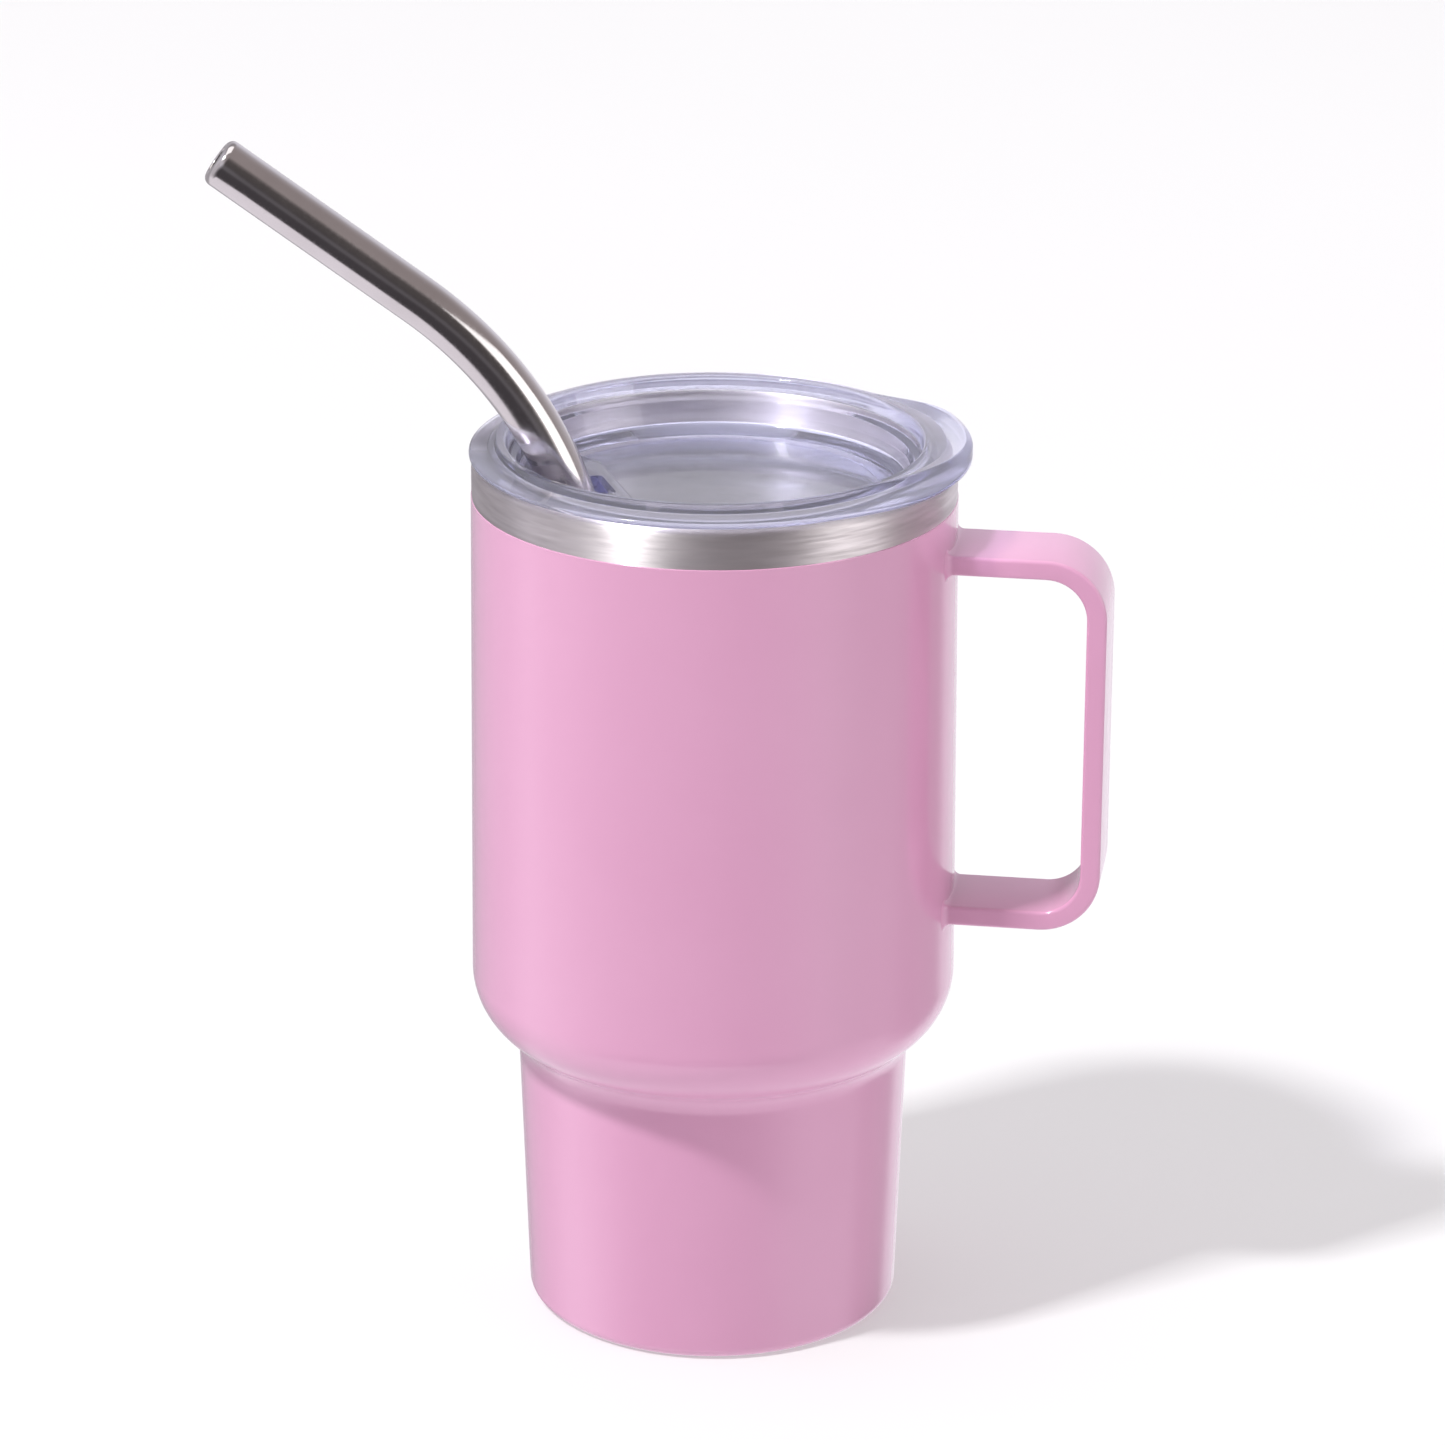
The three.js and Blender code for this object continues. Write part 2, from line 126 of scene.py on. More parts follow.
BODY_MIDDLE = Vector((0, 0, 60)) * MM
STUDIO_WALL = (0.80, 0.785, 0.86)
STUDIO_AREAS = (  # azimuth, elevation, radius where it is full, radius where it ends, colour
    (0, -90, 78, 98, (0.96, 0.92, 0.98)),
    (0, 90, 20, 80, (0.60, 0.58, 0.64)),
    (180, 62, 20, 42, (0.34, 0.32, 0.34)),
    (66, 5, 22, 42, (0.60, 0.57, 0.61)),
    (142, -5, 26, 50, (0.46, 0.44, 0.47)),
    (-100, 10, 25, 50, (0.64, 0.60, 0.64)),
    (-60, 50, 22, 78, (0.34, 0.295, 0.295)),
    (-24, 16, 8, 34, (0.09, 0.08, 0.08)),
    (12, -28, 14, 61, (0.07, 0.063, 0.07)),
    (-58, 0, 8, 22, (1.02, 0.97, 0.98)),
    (-118, -22, 10, 24, (0.44, 0.40, 0.43)),
    (30, -90, 45, 50, (0.96, 0.91, 0.98)),
)


# ---- Mesh making -----------------------------------------------------------------------------------
def make_object(name, points, faces, sharp=40):
    """A mesh object from points in millimetres, smooth except across edges sharper than the angle."""
    mesh = bpy.data.meshes.new(name)
    mesh.from_pydata([(x * MM, y * MM, z * MM) for x, y, z in points], [], faces)
    mesh.validate()
    mesh.polygons.foreach_set("use_smooth", [True] * len(mesh.polygons))
    mesh.set_sharp_from_angle(angle=math.radians(sharp))
    piece = bpy.data.objects.new(name, mesh)
    bpy.context.scene.collection.objects.link(piece)
    return piece


def arc(centre, radius, start, end, steps):
    """Points on an arc, both ends included."""
    turn = (end - start) / steps
    angles = [start + turn * i for i in range(steps + 1)]
    return [(centre[0] + radius * math.cos(a), centre[1] + radius * math.sin(a)) for a in angles]


def rounded(corners, steps=5):
    """An outline from (x, y, fillet) corners: each corner with a fillet becomes steps + 1 points."""
    least = 0.1  # keeps the points of a fillet apart where the outline runs nearly straight on
    outline = []
    for i, (x, y, fillet) in enumerate(corners):
        here = Vector((x, y))
        before = Vector(corners[i - 1][:2]) - here
        after = Vector(corners[(i + 1) % len(corners)][:2]) - here
        if fillet <= 0:
            outline.append((x, y))
            continue
        half = before.angle(after) / 2
        wanted = max(fillet / math.tan(half), least)
        reach = min(wanted, 0.49 * before.length, 0.49 * after.length)
        start = here + before.normalized() * reach
        end = here + after.normalized() * reach
        for j in range(steps + 1):
            t = j / steps
            point = start * (1 - t) ** 2 + here * 2 * t * (1 - t) + end * t ** 2
            outline.append(tuple(point))
    return outline


def turned(name, profile_at, sharp=40, round_steps=ROUND):
    """A solid of revolution. profile_at(angle) gives its (radius, height) points, as many at every angle."""
    count = len(profile_at(0.0))
    points = []
    for i in range(round_steps):
        angle = 2 * math.pi * i / round_steps
        c = math.cos(angle)
        s = math.sin(angle)
        points += [(r * c, r * s, z) for r, z in profile_at(angle)]
    faces = []
    poles = [k for k in range(count) if profile_at(0.0)[k][0] < 1e-6]
    for i in range(round_steps):
        a = i * count
        b = ((i + 1) % round_steps) * count
        for k in range(count):
            m = (k + 1) % count
            if k in poles and m in poles:
                continue
            if k in poles:
                faces.append((k, b + m, a + m))
            elif m in poles:
                faces.append((a + k, b + k, m))
            else:
                faces.append((a + k, b + k, b + m, a + m))
    return make_object(name, points, faces, sharp)


def fixed(profile):
    """A profile that is the same at every angle."""
    return lambda angle: profile


def prism(name, outline, low, high, edge):
    """An upright prism on an outline, with its top edge chamfered."""
    middle = sum((Vector(p) for p in outline), Vector((0, 0))) / len(outline)
    inner = []
    for p in outline:
        inwards = middle - Vector(p)
        inner.append(tuple(Vector(p) + inwards.normalized() * edge))
    rows = [(outline, low), (outline, high - edge), (inner, high)]
    points = [(x, y, z) for row, z in rows for x, y in row]
    n = len(outline)
    faces = [tuple(reversed(range(n))), tuple(range(2 * n, 3 * n))]
    for a, b in ((0, n), (n, 2 * n)):
        faces += [(a + i, a + (i + 1) % n, b + (i + 1) % n, b + i) for i in range(n)]
    return make_object(name, points, faces)


def combine(piece, tool, operation):
    """Joins the tool to the piece, or cuts it out of the piece, and drops the tool."""
    step = piece.modifiers.new(operation, "BOOLEAN")
    step.operation = operation
    step.solver = "EXACT"
    step.object = tool
    shaped = piece.evaluated_get(bpy.context.evaluated_depsgraph_get())
    old = piece.data
    mesh = bpy.data.meshes.new_from_object(shaped)
    piece.modifiers.clear()
    piece.data = mesh
    mesh.name = old.name
    bpy.data.meshes.remove(old)
    bpy.data.objects.remove(tool)
    mesh.polygons.foreach_set("use_smooth", [True] * len(mesh.polygons))
    mesh.set_sharp_from_angle(angle=math.radians(32))


def finish_piece(piece, material, body, nodes):
    """Gives a piece its material and the body it moves with, and hides the CAD nodes that it stands for."""
    piece.data.materials.clear()
    piece.data.materials.append(material)
    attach(piece, body)
    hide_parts(*nodes)


# ---- Materials -------------------------------------------------------------------------------------
class Shader:
    """A material whose nodes are added one call at a time."""

    def __init__(self, name):
        self.material = bpy.data.materials.new(name)
        self.material.use_nodes = True
        self.tree = self.material.node_tree
        self.surface = self.tree.nodes["Principled BSDF"]
        self.output = self.tree.nodes["Material Output"]

    def set(self, **values):
        for key, value in values.items():
            self.surface.inputs[key.replace("_", " ")].default_value = value

    def feed(self, name, value):
        """Links a value to one of the surface's inputs."""
        self.link(value, self.surface.inputs[name])

    def add(self, kind, **settings):
        node = self.tree.nodes.new(kind)
        for key, value in settings.items():
            setattr(node, key, value)
        return node

    def link(self, source, target):
        self.tree.links.new(source, target)

    def math(self, operation, first, second=None):
        node = self.add("ShaderNodeMath", operation=operation)
        for socket, value in zip(node.inputs, (first, second)):
            if value is None:
                continue
            if isinstance(value, (int, float)):
                socket.default_value = value
            else:
                self.link(value, socket)
        return node.outputs[0]

    def place(self):
        return self.add("ShaderNodeTexCoord").outputs["Object"]

    def round_parts(self):
        """The angle round the axis, the distance from it and the height, in radians and metres."""
        split = self.add("ShaderNodeSeparateXYZ")
        self.link(self.place(), split.inputs[0])
        x, y, z = split.outputs
        squares = self.math("ADD", self.math("MULTIPLY", x, x), self.math("MULTIPLY", y, y))
        return self.math("ARCTAN2", y, x), self.math("SQRT", squares), z

    def round_place(self, around, outwards, upwards):
        """Coordinates that run round the axis, out from it and up it, each with its own scale."""
        join = self.add("ShaderNodeCombineXYZ")
        scales = (around, outwards, upwards)
        for part, scale, socket in zip(self.round_parts(), scales, join.inputs):
            self.link(self.math("MULTIPLY", part, scale), socket)
        return join.outputs[0]

    def noise(self, place, scale, detail=2.0):
        node = self.add("ShaderNodeTexNoise")
        node.inputs["Scale"].default_value = scale
        node.inputs["Detail"].default_value = detail
        self.link(place, node.inputs["Vector"])
        return node.outputs["Fac"]

    def spread(self, value, low, high, start=0.3, end=0.7):
        """Moves a texture's value into the range from low to high."""
        node = self.add("ShaderNodeMapRange")
        for name, number in (("From Min", start), ("From Max", end), ("To Min", low), ("To Max", high)):
            node.inputs[name].default_value = number
        self.link(value, node.inputs["Value"])
        return node.outputs["Result"]

    def blend(self, value, first, second):
        node = self.add("ShaderNodeMix", data_type="RGBA")
        self.link(value, node.inputs["Factor"])
        node.inputs["A"].default_value = (*first, 1)
        node.inputs["B"].default_value = (*second, 1)
        return node.outputs["Result"]

    def bump(self, value, strength, distance):
        node = self.add("ShaderNodeBump")
        node.inputs["Strength"].default_value = strength
        node.inputs["Distance"].default_value = distance
        self.link(value, node.inputs["Height"])
        self.feed("Normal", node.outputs["Normal"])


def pink_coat():
    shader = Shader("pink_coat")
    shader.set(Coat_Weight=0.7, Coat_Roughness=0.05, Coat_IOR=1.5, IOR=1.5)
    cloud = shader.noise(shader.place(), 45.0, 3.0)
    colour = shader.blend(shader.spread(cloud, 0.0, 1.0), (0.715, 0.358, 0.545), (0.728, 0.374, 0.560))
    shader.feed("Base Color", colour)
    peel = shader.noise(shader.place(), 700.0, 2.0)
    shader.feed("Roughness", shader.spread(peel, 0.17, 0.23))
    shader.bump(peel, 0.05, 0.00004)
    return shader.material


def turned_steel(name, colour, roughness, scratch, stretch):
    """Steel brushed round the axis, with glints that spread across the lines."""
    shader = Shader(name)
    shader.set(Metallic=1.0, Anisotropic=stretch, Anisotropic_Rotation=0.25)
    lines = shader.noise(shader.round_place(5.0, 3200.0, 3200.0), 1.0, 3.0)
    broad = shader.noise(shader.round_place(3.0, 900.0, 900.0), 1.0, 3.0)
    darker = tuple(0.84 * c for c in colour)
    shade = shader.blend(shader.spread(broad, 0.0, 1.0), darker, colour)
    shader.feed("Base Color", shade)
    shader.feed("Roughness", shader.spread(lines, roughness - 0.10, roughness + 0.10))
    tangent = shader.add("ShaderNodeTangent", direction_type="RADIAL", axis="Z")
    shader.feed("Tangent", tangent.outputs[0])
    shader.bump(lines, scratch, 0.00002)
    return shader.material


def polished_steel():
    shader = Shader("polished_steel")
    shader.set(Metallic=1.0)
    cloud = shader.noise(shader.place(), 160.0, 3.0)
    fine = shader.noise(shader.place(), 2500.0, 2.0)
    shade = shader.blend(shader.spread(cloud, 0.0, 1.0), (0.66, 0.63, 0.63), (0.72, 0.69, 0.69))
    shader.feed("Base Color", shade)
    shader.feed("Roughness", shader.spread(fine, 0.10, 0.17))
    shader.bump(cloud, 0.06, 0.00005)
    return shader.material


def clear_plastic():
    """Clear plastic that turns lilac where it is thick, and a little milky towards the brim."""
    shader = Shader("clear_plastic")
    shader.set(IOR=1.5)
    radius = shader.round_parts()[1]
    brim_start = 22.7 * MM
    brim_full = 25.7 * MM
    brim = shader.spread(radius, 0.0, 1.0, brim_start, brim_full)
    tint = shader.blend(brim, (0.93, 0.93, 0.955), (0.87, 0.87, 0.98))
    shader.feed("Base Color", tint)
    clearness = shader.spread(radius, 0.93, 0.86, brim_start, brim_full)
    shader.feed("Transmission Weight", clearness)
    waves = shader.noise(shader.place(), 130.0, 2.0)
    shader.feed("Roughness", shader.spread(waves, 0.03, 0.07))
    shader.bump(waves, 0.10, 0.0002)
    depth = shader.add("ShaderNodeVolumeAbsorption")
    depth.inputs["Color"].default_value = (0.42, 0.42, 0.78, 1)
    depth.inputs["Density"].default_value = 95.0
    shader.link(depth.outputs[0], shader.output.inputs["Volume"])
    # Lamps shine straight through the plastic, so that the steel under the lid is lit.
    ray = shader.add("ShaderNodeLightPath")
    through = shader.add("ShaderNodeBsdfTransparent")
    through.inputs["Color"].default_value = (0.77, 0.77, 0.82, 1)
    mix = shader.add("ShaderNodeMixShader")
    shader.link(ray.outputs["Is Shadow Ray"], mix.inputs[0])
    shader.link(shader.surface.outputs[0], mix.inputs[1])
    shader.link(through.outputs[0], mix.inputs[2])
    shader.link(mix.outputs[0], shader.output.inputs["Surface"])
    return shader.material


def silicone():
    shader = Shader("silicone")
    shader.set(Base_Color=(0.86, 0.86, 0.92, 1), Transmission_Weight=0.15, IOR=1.41)
    grain = shader.noise(shader.place(), 900.0, 2.0)
    shader.feed("Roughness", shader.spread(grain, 0.28, 0.4))
    shader.bump(grain, 0.1, 0.00004)
    return shader.material


def copper_foil():
    shader = Shader("copper_foil")
    shader.set(Metallic=1.0)
    crease = shader.noise(shader.round_place(6.0, 100.0, 320.0), 1.0, 4.0)
    shade = shader.blend(shader.spread(crease, 0.0, 1.0), (0.60, 0.32, 0.18), (0.78, 0.48, 0.30))
    shader.feed("Base Color", shade)
    shader.feed("Roughness", shader.spread(crease, 0.22, 0.4))
    shader.bump(crease, 0.5, 0.0003)
    return shader.material


def solder_glass():
    shader = Shader("solder_glass")
    shader.set(Roughness=0.12, IOR=1.6, Transmission_Weight=0.3)
    bubbles = shader.noise(shader.place(), 2200.0, 3.0)
    shade = shader.blend(shader.spread(bubbles, 0.0, 1.0), (0.16, 0.2, 0.13), (0.34, 0.4, 0.27))
    shader.feed("Base Color", shade)
    shader.bump(bubbles, 0.2, 0.00005)
    return shader.material


def getter_powder():
    shader = Shader("getter_powder")
    shader.set(Metallic=0.3)
    grit = shader.noise(shader.place(), 4500.0, 5.0)
    shade = shader.blend(shader.spread(grit, 0.0, 1.0), (0.08, 0.08, 0.085), (0.22, 0.22, 0.23))
    shader.feed("Base Color", shade)
    shader.feed("Roughness", shader.spread(grit, 0.6, 0.95))
    shader.bump(grit, 0.6, 0.0001)
    return shader.material


COAT = pink_coat()
RIM_STEEL = turned_steel("brushed_rim", (0.87, 0.82, 0.83), 0.5, 0.6, 0.95)
LINER_STEEL = turned_steel("liner_steel", (0.68, 0.66, 0.66), 0.34, 0.3, 1.0)
BASE_STEEL = turned_steel("base_steel", (0.66, 0.64, 0.62), 0.30, 0.4, 1.0)
POLISHED = polished_steel()
CLEAR = clear_plastic()
SILICONE = silicone()


# ---- The steel body --------------------------------------------------------------------------------
CONVEX_CENTRE = (SHOULDER_RADIUS - SHOULDER_CURVE, SHOULDER_HEIGHT)
CONCAVE_CENTRE = (
    CONVEX_CENTRE[0] + (SHOULDER_CURVE + NECK_CURVE) * math.cos(SHOULDER_TURN),
    CONVEX_CENTRE[1] - (SHOULDER_CURVE + NECK_CURVE) * math.sin(SHOULDER_TURN),
)
NECK_RADIUS = CONCAVE_CENTRE[0] - NECK_CURVE


def shell_radius(z):
    """Outer radius of the straight wall above the shoulder."""
    slope = (RIM_RADIUS - SHOULDER_RADIUS) / (PAINT_TOP - SHOULDER_HEIGHT)
    return SHOULDER_RADIUS + slope * (z - SHOULDER_HEIGHT)


def wall(inset, low, high):
    """The body's outline moved inwards by inset, from a height in the foot to one near the mouth."""
    foot_slope = (NECK_RADIUS - BASE_RADIUS) / (CONCAVE_CENTRE[1] - BASE_FILLET)
    concave = arc(CONCAVE_CENTRE, NECK_CURVE + inset, math.pi, math.pi - SHOULDER_TURN, 14)
    convex = arc(CONVEX_CENTRE, SHOULDER_CURVE - inset, -SHOULDER_TURN, 0, 18)
    points = [(BASE_RADIUS + foot_slope * (low - BASE_FILLET) - inset, low)]
    points += concave
    points += convex[1:]
    points.append((shell_radius(high) - inset, high))
    return points


def make_shell():
    lip = COVER_RADIUS + 0.12
    edge = 0.12
    fillet = arc((BASE_RADIUS - BASE_FILLET, BASE_FILLET), BASE_FILLET, -math.pi / 2, 0, 10)
    outside = wall(0, BASE_FILLET, PAINT_TOP - edge)[1:]
    coat_edge = arc((RIM_RADIUS - edge, PAINT_TOP - edge), edge, 0, math.pi / 2, 4)
    inside = wall(SHEET, BASE_FILLET, PAINT_TOP - 0.3)[::-1]
    profile = arc((lip + 0.2, 0.2), 0.2, math.pi, 1.5 * math.pi, 4) + fillet + outside + coat_edge
    profile += [(RIM_RADIUS - SHEET, PAINT_TOP)] + inside + [(lip, SHEET + 0.2)]
    shell = turned("shell", fixed(profile))
    finish_piece(shell, COAT, "tumbler", ["outer_shell"])


def make_rim():
    outside = RIM_RADIUS - 0.07
    inside = RIM_RADIUS - LINER_INSIDE
    foot = PAINT_TOP - 1.5
    corners = [  # a lip rolled over from outside to inside
        (outside, foot, 0), (outside, RIM_TOP, 1.25), (inside, RIM_TOP, 0.9), (inside, foot, 0),
        (inside + SHEET, foot, 0), (inside + SHEET, RIM_TOP - SHEET, 0.4),
        (outside - SHEET, RIM_TOP - SHEET, 0.7), (outside - SHEET, foot, 0),
    ]
    rim = turned("rim_band", fixed(rounded(corners, 6)))
    finish_piece(rim, RIM_STEEL, "tumbler", ["mouth_rim"])


def make_liner():
    low = height("liner_wall", 0)
    top = PAINT_TOP - 1.0
    turn_in = arc((BASE_RADIUS - LINER_INSIDE - 2.0, low + 2.0 - 0.3), 2.0, 0, -math.pi / 2, 8)
    inside = wall(LINER_INSIDE, low + 1.7, top)[::-1]
    outside = wall(LINER_OUTSIDE, low + 1.7, top)
    turn_out = arc((BASE_RADIUS - LINER_INSIDE - 2.0, low + 1.7), 2.6, -math.pi / 2, 0, 8)
    profile = inside + turn_in[1:] + turn_out[:-1] + outside
    liner = turned("liner", fixed(profile))
    finish_piece(liner, LINER_STEEL, "tumbler", ["liner_wall"])

    floor_top = low + 0.1
    radius = BASE_RADIUS - LINER_INSIDE - 1.6
    ring = 11.0
    corners = [
        (0, floor_top - 0.3, 0), (0, floor_top - 0.9, 0), (radius, floor_top - 0.9, 0.2),
        (radius, floor_top, 0.2), (ring + 0.6, floor_top, 0.4), (ring, floor_top - 0.3, 0.4),
    ]
    floor = turned("liner_floor_disc", fixed(rounded(corners, 4)))
    finish_piece(floor, LINER_STEEL, "tumbler", ["liner_floor"])


def make_base():
    groove = 15.5
    corners = [
        (0, 0.02, 0), (groove - 0.5, 0.02, 0.2), (groove, 0.22, 0.2), (groove + 0.5, 0.02, 0.2),
        (COVER_RADIUS, 0.02, 0.3), (COVER_RADIUS, 0.8, 0.1), (0, 0.8, 0),
    ]
    cover = turned("base_disc", fixed(rounded(corners, 4)))
    finish_piece(cover, BASE_STEEL, "tumbler", ["base_cover"])


# ---- The handle ------------------------------------------------------------------------------------
def strip_section(grow):
    """The strip's cross-section, (across, through), grown by a weld's fillet."""
    across = STRIP_WIDTH / 2 + grow
    through = STRIP_THICKNESS / 2 + grow
    corners = [(-across, -through), (across, -through), (across, through), (-across, through)]
    return rounded([(x, y, STRIP_EDGE + grow * 0.6) for x, y in corners], 6)


def make_handle():
    middle = STRIP_THICKNESS / 2
    reach = HANDLE_REACH - middle
    top = HANDLE_TOP - middle
    bottom = HANDLE_BOTTOM + middle
    bend = HANDLE_CORNER - middle
    sunk = 0.4
    rings = []  # place and outward normal in the X-Z plane, weld fillet, how far it follows the shell

    def arm(z, normal, outwards):
        """Rings of one arm, from inside the shell to the start of the bend."""
        radius = shell_radius(z)
        made = [((radius - sunk, z), normal, WELD_FILLET, 1.0)]
        for i in range(9):
            rise = WELD_FILLET * i / 8
            flare = WELD_FILLET - math.sqrt(max(WELD_FILLET ** 2 - (WELD_FILLET - rise) ** 2, 0.0))
            made.append(((radius + rise, z), normal, flare, 1.0))
        start = radius + WELD_FILLET
        span = reach - bend - start
        for i in range(1, 7):
            made.append(((start + span * i / 7, z), normal, 0.0, 1.0 - i / 7))
        return made if outwards else made[::-1]

    rings += arm(top, (0, 1), True)
    for x, z in arc((reach - bend, top - bend), bend, math.pi / 2, 0, 16):
        rings.append(((x, z), (x - reach + bend, z - top + bend), 0.0, 0.0))
    grip = top - bottom - 2 * bend
    for i in range(1, 8):
        rings.append(((reach, top - bend - grip * i / 8), (1, 0), 0.0, 0.0))
    for x, z in arc((reach - bend, bottom + bend), bend, 0, -math.pi / 2, 16):
        rings.append(((x, z), (x - reach + bend, z - bottom - bend), 0.0, 0.0))
    rings += arm(bottom, (0, -1), False)

    points = []
    for (x, z), normal, grow, wrapped in rings:
        out = Vector(normal).normalized()
        for across, through in strip_section(grow):
            slip = wrapped * (math.sqrt(max(x * x - across * across, 0.0)) - x)
            points.append((x + out.x * through + slip, across, z + out.y * through))
    n = len(strip_section(0.0))
    faces = [tuple(reversed(range(n))), tuple(range(len(points) - n, len(points)))]
    for k in range(len(rings) - 1):
        a = k * n
        b = a + n
        faces += [(a + i, a + (i + 1) % n, b + (i + 1) % n, b + i) for i in range(n)]
    handle = make_object("handle", points, faces, 50)
    finish_piece(handle, COAT, "tumbler", ["handle_strip", "upper_arm_weld", "lower_arm_weld"])


# ---- The lid ---------------------------------------------------------------------------------------
def smooth(value):
    """Eases from 0 to 1 and stays there."""
    t = min(max(value, 0.0), 1.0)
    return t * t * (3 - 2 * t)


def share(angle, start, full):
    """Rises from 0 at the start to 1 at the full angle, in degrees, and drops at the thumb tab's end."""
    degrees = (math.degrees(angle) + 180) % 360 - 180
    return min(smooth((degrees - start) / (full - start)), smooth((TAB_END - degrees) / TAB_END_BLEND))


def lid_profile(angle):
    """The lid's outline at an angle: a plug, a brim with a rounded nose, a ridge and a dished floor.

    At the thumb tab the nose moves out first, and the ridge then widens into a dished plateau.
    """
    nose = BRIM_RADIUS + (TAB_RADIUS - BRIM_RADIUS) * share(angle, -56, -24)
    widened = share(angle, -42, 8)
    crest = RIDGE_RADIUS + (TAB_RADIUS - 0.35 - RIDGE_RADIUS) * widened
    dish = (crest + RECESS_RADIUS) / 2
    plug_inside = PLUG_RADIUS - PLUG_WALL
    seal_top = 90.5
    return rounded([
        (0, LID_UNDERSIDE, 0), (plug_inside, LID_UNDERSIDE, 0.3), (plug_inside, PLUG_BOTTOM, 0.3),
        (PLUG_RADIUS, PLUG_BOTTOM, 0.4), (PLUG_RADIUS, seal_top, 0.1),
        (PLUG_RADIUS + 0.9, seal_top + 0.7, 0.3), (PLUG_RADIUS + 1.1, BRIM_UNDERSIDE, 0.3),
        (nose, BRIM_UNDERSIDE, 0.22), (nose, BRIM_UNDERSIDE + 0.55, 0.3),
        (crest + 0.35, LID_CREST - 0.75 + 0.3 * widened, 0.5), (crest - 0.4, LID_CREST, 0.5),
        (dish, LID_CREST - TAB_DISH * widened, 0.3), (RECESS_RADIUS, LID_CREST - 0.1, 0.45),
        (RECESS_RADIUS - 0.45, STEP_HEIGHT + 0.3, 0.3), (RECESS_RADIUS - 1.1, STEP_HEIGHT, 0.25),
        (RECESS_RADIUS - 1.9, LID_FLOOR + 0.7, 0.4), (RECESS_RADIUS - 4.4, LID_FLOOR, 1.0),
        (0, LID_FLOOR, 0),
    ])


def along_port(points):
    """Points given as distance outwards along the port and distance to its side, in the row's axes."""
    c = math.cos(PORT_AZIMUTH)
    s = math.sin(PORT_AZIMUTH)
    return [(out * c - side * s, out * s + side * c) for out, side in points]


def make_lid():
    lid = turned("lid", lid_profile, 32, LID_ROUND)

    outer = PLUG_RADIUS - 0.35  # inside the recess's wall
    splay_out, splay_aside = PAD_SPLAY
    side = PAD_HALF_WIDTH + splay_aside
    sweep = math.asin(side / outer)
    front = rounded([
        (PAD_START + splay_out, side, 0), (PAD_START, PAD_HALF_WIDTH, 1.0),
        (PAD_START, -PAD_HALF_WIDTH, 1.0), (PAD_START + splay_out, -side, 0),
    ], 6)
    outline = arc((0, 0), outer, -sweep, sweep, 24) + front
    pad = prism("pad", along_port(outline), LID_FLOOR - 0.5, PORT_TOP, PAD_EDGE)
    combine(lid, pad, "UNION")

    half = SLOT_WIDTH / 2
    corner = 0.6
    hole = arc((SLOT_END - half, 0), half, -math.pi / 2, math.pi / 2, 24)
    hole += arc((SLOT_START + corner, half - corner), corner, math.pi / 2, math.pi, 5)
    hole += arc((SLOT_START + corner, corner - half), corner, math.pi, 1.5 * math.pi, 5)
    slot = prism("slot", along_port(hole), PLUG_BOTTOM - 1, PORT_TOP + 1, 0.1)
    combine(lid, slot, "DIFFERENCE")
    finish_piece(lid, CLEAR, "lid", ["lid_body"])


def make_seal():
    inner = PLUG_RADIUS + 0.06
    low = height("lid_seal", 0)
    high = height("lid_seal", 1)
    lip = RIM_RADIUS - LINER_INSIDE - 0.05
    corners = [
        (inner, low, 0.1), (inner + 0.5, low, 0.2), (lip, low + 0.7, 0.15), (inner + 0.6, low + 1.3, 0.2),
        (lip, low + 2.0, 0.15), (inner + 0.6, high, 0.2), (inner, high, 0.1),
    ]
    seal = turned("seal_ring", fixed(rounded(corners, 4)))
    finish_piece(seal, SILICONE, "lid", ["lid_seal"])


# ---- The straw -------------------------------------------------------------------------------------
def straw_frame(distance):
    """The centre line's reach, rise and tilt at a distance from the foot, in the straw's own plane."""
    bend = min(max(distance - LEG_LENGTH, 0.0), BEND_LENGTH)
    tilt = LEG_TILT + bend / BEND_RADIUS
    straight = distance - LEG_LENGTH - bend
    reach = BEND_REACH + BEND_RADIUS * (math.cos(LEG_TILT) - math.cos(tilt)) + straight * math.sin(tilt)
    rise = BEND_HEIGHT + BEND_RADIUS * (math.sin(tilt) - math.sin(LEG_TILT)) + straight * math.cos(tilt)
    return reach, rise, tilt


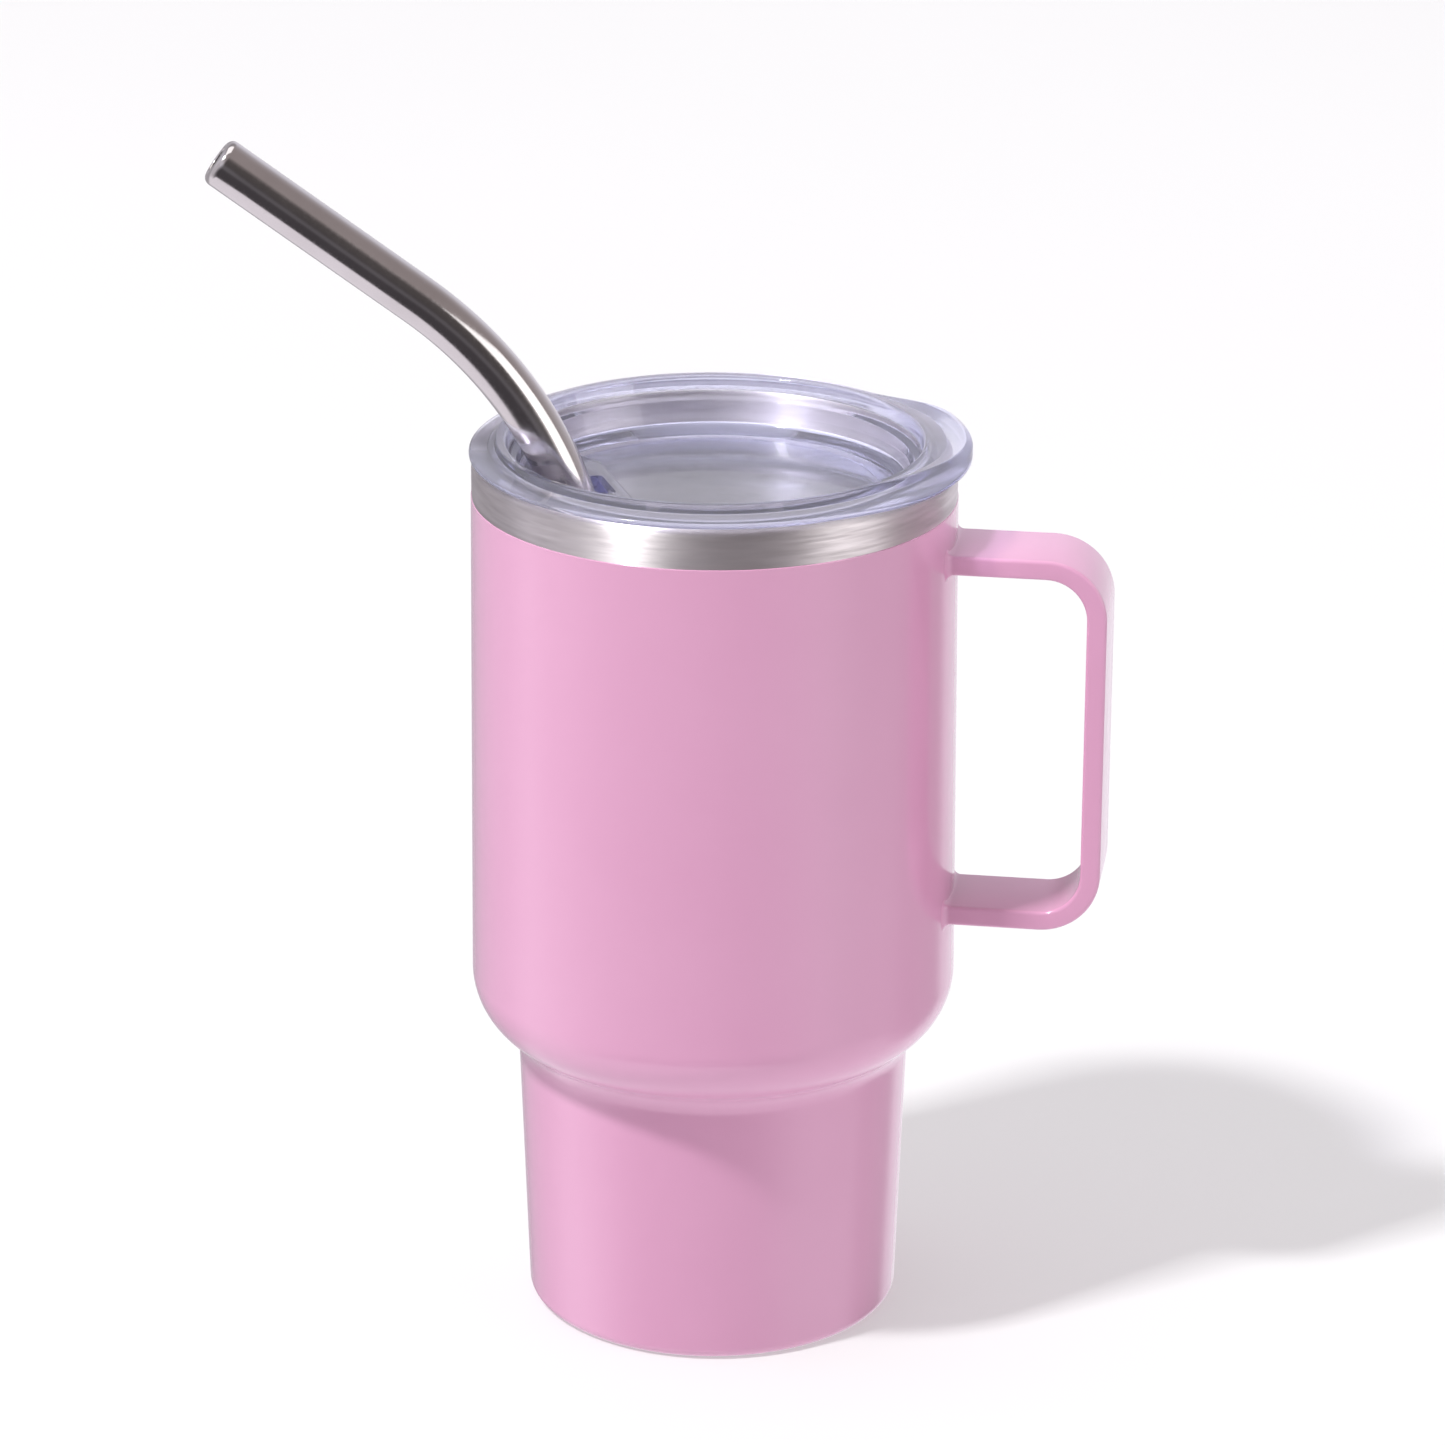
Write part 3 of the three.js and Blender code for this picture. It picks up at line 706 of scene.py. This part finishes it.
def make_straw():
    total = LEG_LENGTH + BEND_LENGTH + MOUTHPIECE_LENGTH
    bore = STRAW_RADIUS - STRAW_WALL
    half = STRAW_WALL / 2
    lip_radius = STRAW_RADIUS - STRAW_LIP
    stations = [LEG_LENGTH * i / 10 for i in range(1, 11)]
    stations += [LEG_LENGTH + BEND_LENGTH * i / 40 for i in range(1, 41)]
    stations += [LEG_LENGTH + BEND_LENGTH + MOUTHPIECE_LENGTH * i / 6 for i in range(1, 6)]
    profile = [(s, STRAW_RADIUS) for s in stations]  # distance along the centre line, radius
    profile += arc((total - STRAW_LIP, lip_radius), STRAW_LIP, math.pi / 2, 0, 8)
    profile += arc((total - half, lip_radius), half, 0, -math.pi / 2, 4)[1:]
    profile += [(total - 2 * STRAW_LIP, bore)]
    profile += [(s, bore) for s in stations[::-1]]
    profile += [(half + y, bore + half + x) for x, y in arc((0, 0), half, math.pi, 2 * math.pi, 8)]

    facets = 64
    out = Vector((math.cos(STRAW_AZIMUTH), math.sin(STRAW_AZIMUTH), 0))
    side = Vector((-math.sin(STRAW_AZIMUTH), math.cos(STRAW_AZIMUTH), 0))
    up = Vector((0, 0, 1))
    points = []
    for distance, radius in profile:
        reach, rise, tilt = straw_frame(distance)
        centre = out * reach + side * STRAW_OFFSET + up * rise
        normal = out * math.cos(tilt) - up * math.sin(tilt)
        for i in range(facets):
            angle = 2 * math.pi * i / facets
            points.append(tuple(centre + (normal * math.cos(angle) + side * math.sin(angle)) * radius))
    faces = []
    rows = len(profile)
    for k in range(rows):
        a = k * facets
        b = ((k + 1) % rows) * facets
        faces += [(a + i, a + (i + 1) % facets, b + (i + 1) % facets, b + i) for i in range(facets)]
    straw = make_object("straw_tube", points, faces, 60)
    finish_piece(straw, POLISHED, "straw", ["straw"])


make_shell()
make_rim()
make_liner()
make_base()
make_handle()
make_lid()
make_seal()
make_straw()

for node, material in (
    ("foil_wrap", copper_foil()),
    ("closing_plate", LINER_STEEL),
    ("vacuum_seal_bead", solder_glass()),
    ("getter_pellet", getter_powder()),
    ("getter_clip", LINER_STEEL),
):
    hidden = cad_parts[node]
    hidden.data.materials.clear()
    hidden.data.materials.append(material)


# ---- Floor, light and camera -----------------------------------------------------------------------
def pale_floor():
    shader = Shader("pale_floor")
    shader.set(Roughness=0.6, Specular_IOR_Level=0.2, Emission_Color=(1, 1, 1, 1), Emission_Strength=0.37)
    cloud = shader.noise(shader.place(), 3.0, 2.0)
    shade = shader.blend(shader.spread(cloud, 0.0, 1.0), (0.50, 0.50, 0.505), (0.52, 0.52, 0.525))
    shader.feed("Base Color", shade)
    return shader.material


def make_floor():
    size = 4000.0
    corners = [(-size, -size, 0), (size, -size, 0), (size, size, 0), (-size, size, 0)]
    floor = make_object("floor", corners, [(0, 1, 2, 3)])
    floor.data.materials.append(pale_floor())
    floor.visible_glossy = False  # gloss and steel mirror the studio below the horizon instead


def toward(azimuth, elevation):
    """A direction. Azimuth is turned left from the camera's side of the object, in degrees."""
    turn = CAMERA_AZIMUTH - math.radians(azimuth)
    lift = math.radians(elevation)
    return Vector((math.sin(turn) * math.cos(lift), -math.cos(turn) * math.cos(lift), math.sin(lift)))


def add_light(name, azimuth, elevation, distance, size, brightness):
    """A square area light aimed at the object. A white wall facing it shows the given brightness."""
    away = toward(azimuth, elevation)
    data = bpy.data.lights.new(name, "AREA")
    data.size = size
    data.energy = brightness * math.pi ** 2 * distance ** 2
    lamp = bpy.data.objects.new(name, data)
    lamp.location = BODY_MIDDLE + away * distance
    lamp.rotation_euler = away.to_track_quat("Z", "Y").to_euler()
    bpy.context.scene.collection.objects.link(lamp)


def make_world():
    """A pale studio with darker and brighter areas, which the steel and the plastic mirror."""
    world = bpy.data.worlds.new("studio")
    bpy.context.scene.world = world
    world.use_nodes = True
    tree = world.node_tree
    place = tree.nodes.new("ShaderNodeTexCoord")
    colour = None
    for azimuth, elevation, full, end, shade in STUDIO_AREAS:
        dot = tree.nodes.new("ShaderNodeVectorMath")
        dot.operation = "DOT_PRODUCT"
        dot.inputs[1].default_value = toward(azimuth, elevation)
        tree.links.new(place.outputs["Generated"], dot.inputs[0])
        edge = tree.nodes.new("ShaderNodeMapRange")
        edge.interpolation_type = "SMOOTHSTEP"
        edge.inputs["From Min"].default_value = math.cos(math.radians(end))
        edge.inputs["From Max"].default_value = math.cos(math.radians(full))
        tree.links.new(dot.outputs["Value"], edge.inputs["Value"])
        mix = tree.nodes.new("ShaderNodeMix")
        mix.data_type = "RGBA"
        tree.links.new(edge.outputs["Result"], mix.inputs["Factor"])
        if colour:
            tree.links.new(colour, mix.inputs["A"])
        else:
            mix.inputs["A"].default_value = (*STUDIO_WALL, 1)
        mix.inputs["B"].default_value = (*shade, 1)
        colour = mix.outputs["Result"]
    tree.links.new(colour, tree.nodes["Background"].inputs["Color"])


def make_camera():
    data = bpy.data.cameras.new("camera")
    data.sensor_width = SENSOR
    data.lens = LENS
    data.clip_start = 0.01
    camera = bpy.data.objects.new("camera", data)
    turn = Matrix.Rotation(CAMERA_AZIMUTH, 4, "Z")
    tilt = Matrix.Rotation(math.pi / 2 - CAMERA_PITCH, 4, "X")
    roll = Matrix.Rotation(CAMERA_ROLL, 4, "Z")
    camera.matrix_world = turn @ Matrix.Translation(Vector(CAMERA_PLACE) * MM) @ tilt @ roll
    bpy.context.scene.collection.objects.link(camera)
    bpy.context.scene.camera = camera


make_floor()
make_world()
add_light("key", 57, 57, 3.0, 0.25, 0.85)
add_light("fill", -65, 15, 3.0, 2.0, 0.19)
add_light("overhead", 180, 80, 4.0, 3.2, 0.22)
make_camera()
bpy.context.scene.view_settings.view_transform = "Standard"
